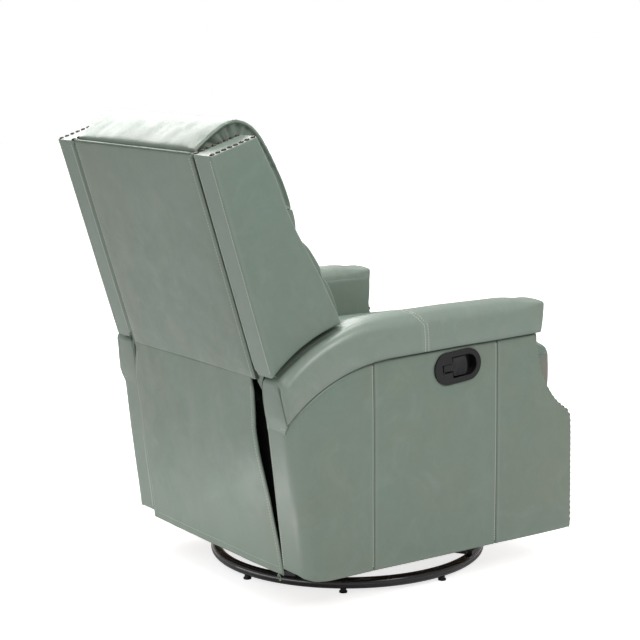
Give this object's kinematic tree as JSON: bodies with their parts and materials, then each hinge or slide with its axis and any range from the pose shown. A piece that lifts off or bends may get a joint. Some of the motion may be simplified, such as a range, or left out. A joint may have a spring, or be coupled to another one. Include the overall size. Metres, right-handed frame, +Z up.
{
  "type": "swivel rocker recliner",
  "caption": "Leather-covered armchair on a swivelling ring base with rockers, a reclining winged back, a fold-out footrest and a side release handle.",
  "frame": {"origin": "middle of the chair's footprint box, on the floor; the swivel axis is 84 mm in front of it", "axes": "+Z up, the chair faces -Y, the side with the release handle is -X"},
  "size_m": [0.734, 0.93, 1.031],
  "materials": {
    "padded_leather": "sage green semi-gloss leatherette over foam",
    "cover_leather": "sage green semi-gloss leatherette",
    "frame_wood": "raw plywood",
    "black_steel": "gloss black paint",
    "zinc_steel": "zinc plated",
    "black_plastic": "moulded, satin",
    "bronze_nails": "antique bronze"
  },
  "bodies": {
    "base": {"base_ring": "black_steel", "base_cross_bars": "black_steel", "base_glides": "black_plastic", "swivel_lower_plate": "zinc_steel", "bearing_balls": "zinc_steel", "swivel_pin": "zinc_steel"},
    "deck": {"swivel_upper_plate": "zinc_steel", "rocker_crossmembers": "black_steel", "rocker_rails": "frame_wood", "spring_lower_seats": "black_steel"},
    "chassis": {"rocker_cams": "frame_wood", "spring_upper_seats": "black_steel", "rocker_springs": "zinc_steel", "base_rail_left": "frame_wood", "base_rail_right": "frame_wood", "front_cross_rail": "frame_wood", "rear_cross_rail": "frame_wood", "mechanism_plate_left": "black_steel", "mechanism_plate_right": "black_steel", "mechanism_pins": "zinc_steel", "seat_guide_rollers": "black_plastic", "arm_frame_left": "frame_wood", "arm_frame_right": "frame_wood", "arm_outer_cover_left": "cover_leather", "arm_outer_cover_right": "cover_leather", "arm_inner_cover_left": "cover_leather", "arm_inner_cover_right": "cover_leather", "arm_front_facing_left": "cover_leather", "arm_front_facing_right": "cover_leather", "arm_pad_left": "padded_leather", "arm_pad_right": "padded_leather", "arm_nailheads": "bronze_nails", "handle_bezel": "black_plastic", "handle_pin": "zinc_steel", "release_cable": "black_plastic", "back_skirt": "cover_leather"},
    "paddle": {"release_paddle": "black_plastic"},
    "latch": {"latch_lever": "zinc_steel"},
    "seat": {"seat_rail_left": "black_steel", "seat_rail_right": "black_steel", "seat_frame": "frame_wood", "seat_springs": "zinc_steel", "seat_cushion": "padded_leather"},
    "backrest": {"back_outer_panel": "cover_leather", "back_frame": "frame_wood", "wing_left": "padded_leather", "wing_right": "padded_leather", "wing_nailheads": "bronze_nails", "back_cushion": "padded_leather", "head_cushion": "padded_leather", "back_bracket_left": "black_steel", "back_bracket_right": "black_steel"},
    "footrest_drive": {"footrest_drive_tube": "black_steel", "footrest_drive_links": "black_steel"},
    "footrest_outer": {"footrest_outer_links": "black_steel"},
    "footrest_control": {"footrest_control_links": "black_steel"},
    "footrest": {"footrest_brackets": "black_steel", "footrest_board": "frame_wood", "footrest_cushion": "padded_leather"}
  },
  "joints": [
    {"name": "swivel", "type": "hinge", "parent": "base", "child": "deck", "pos_m": [0, -0.084, 0.053], "axis": [0, 0, 1], "continuous": true},
    {"name": "rock", "type": "hinge", "parent": "deck", "child": "chassis", "pos_m": [0, -0.084, 0.096], "axis": [1, 0, 0], "range_deg": [-7, 7], "stiffness_Nm_per_rad": 900, "deforming": ["rocker_springs"]},
    {"name": "paddle_pull", "type": "hinge", "parent": "chassis", "child": "paddle", "pos_m": [-0.352, -0.08811, 0.48783], "axis": [0, -0.0785, -0.9969], "range_deg": [0, 35], "stiffness_Nm_per_rad": 0.3},
    {"name": "latch_turn", "type": "hinge", "parent": "chassis", "child": "latch", "pos_m": [-0.2695, -0.214, 0.238], "axis": [1, 0, 0], "range_deg": [0, 21]},
    {"name": "back_recline", "type": "hinge", "parent": "chassis", "child": "backrest", "pos_m": [0, 0.078, 0.264], "axis": [-1, 0, 0], "range_deg": [0, 30], "deforming": ["back_skirt"]},
    {"name": "seat_slide", "type": "slide", "parent": "chassis", "child": "seat", "axis": [0, -1, 0], "range_m": [0, 0.045]},
    {"name": "footrest_drive", "type": "hinge", "parent": "seat", "child": "footrest_drive", "pos_m": [0, -0.309, 0.32], "axis": [-1, 0, 0], "range_deg": [0, 132]},
    {"name": "footrest_control", "type": "hinge", "parent": "seat", "child": "footrest_control", "pos_m": [0, -0.2688, 0.304], "axis": [-1, 0, 0], "range_deg": [0, 133]},
    {"name": "footrest_unfold", "type": "hinge", "parent": "footrest_drive", "child": "footrest_outer", "pos_m": [0, -0.1831, 0.1777], "axis": [-1, 0, 0], "range_deg": [-124, 0]},
    {"name": "footrest_turn", "type": "hinge", "parent": "footrest_outer", "child": "footrest", "pos_m": [0, -0.41453, 0.24845], "axis": [-1, 0, 0], "range_deg": [0, 82]}
  ],
  "couplings": [
    {"joint": "latch_turn", "follows": "paddle_pull", "ratio": 0.5714},
    {"joint": "seat_slide", "follows": "back_recline", "m_per_rad": 0.085753},
    {"joint": "footrest_control", "follows": "footrest_drive", "ratio": 1.0006},
    {"joint": "footrest_unfold", "follows": "footrest_drive", "ratio": -0.93182},
    {"joint": "footrest_turn", "follows": "footrest_drive", "ratio": 0.61364}
  ]
}
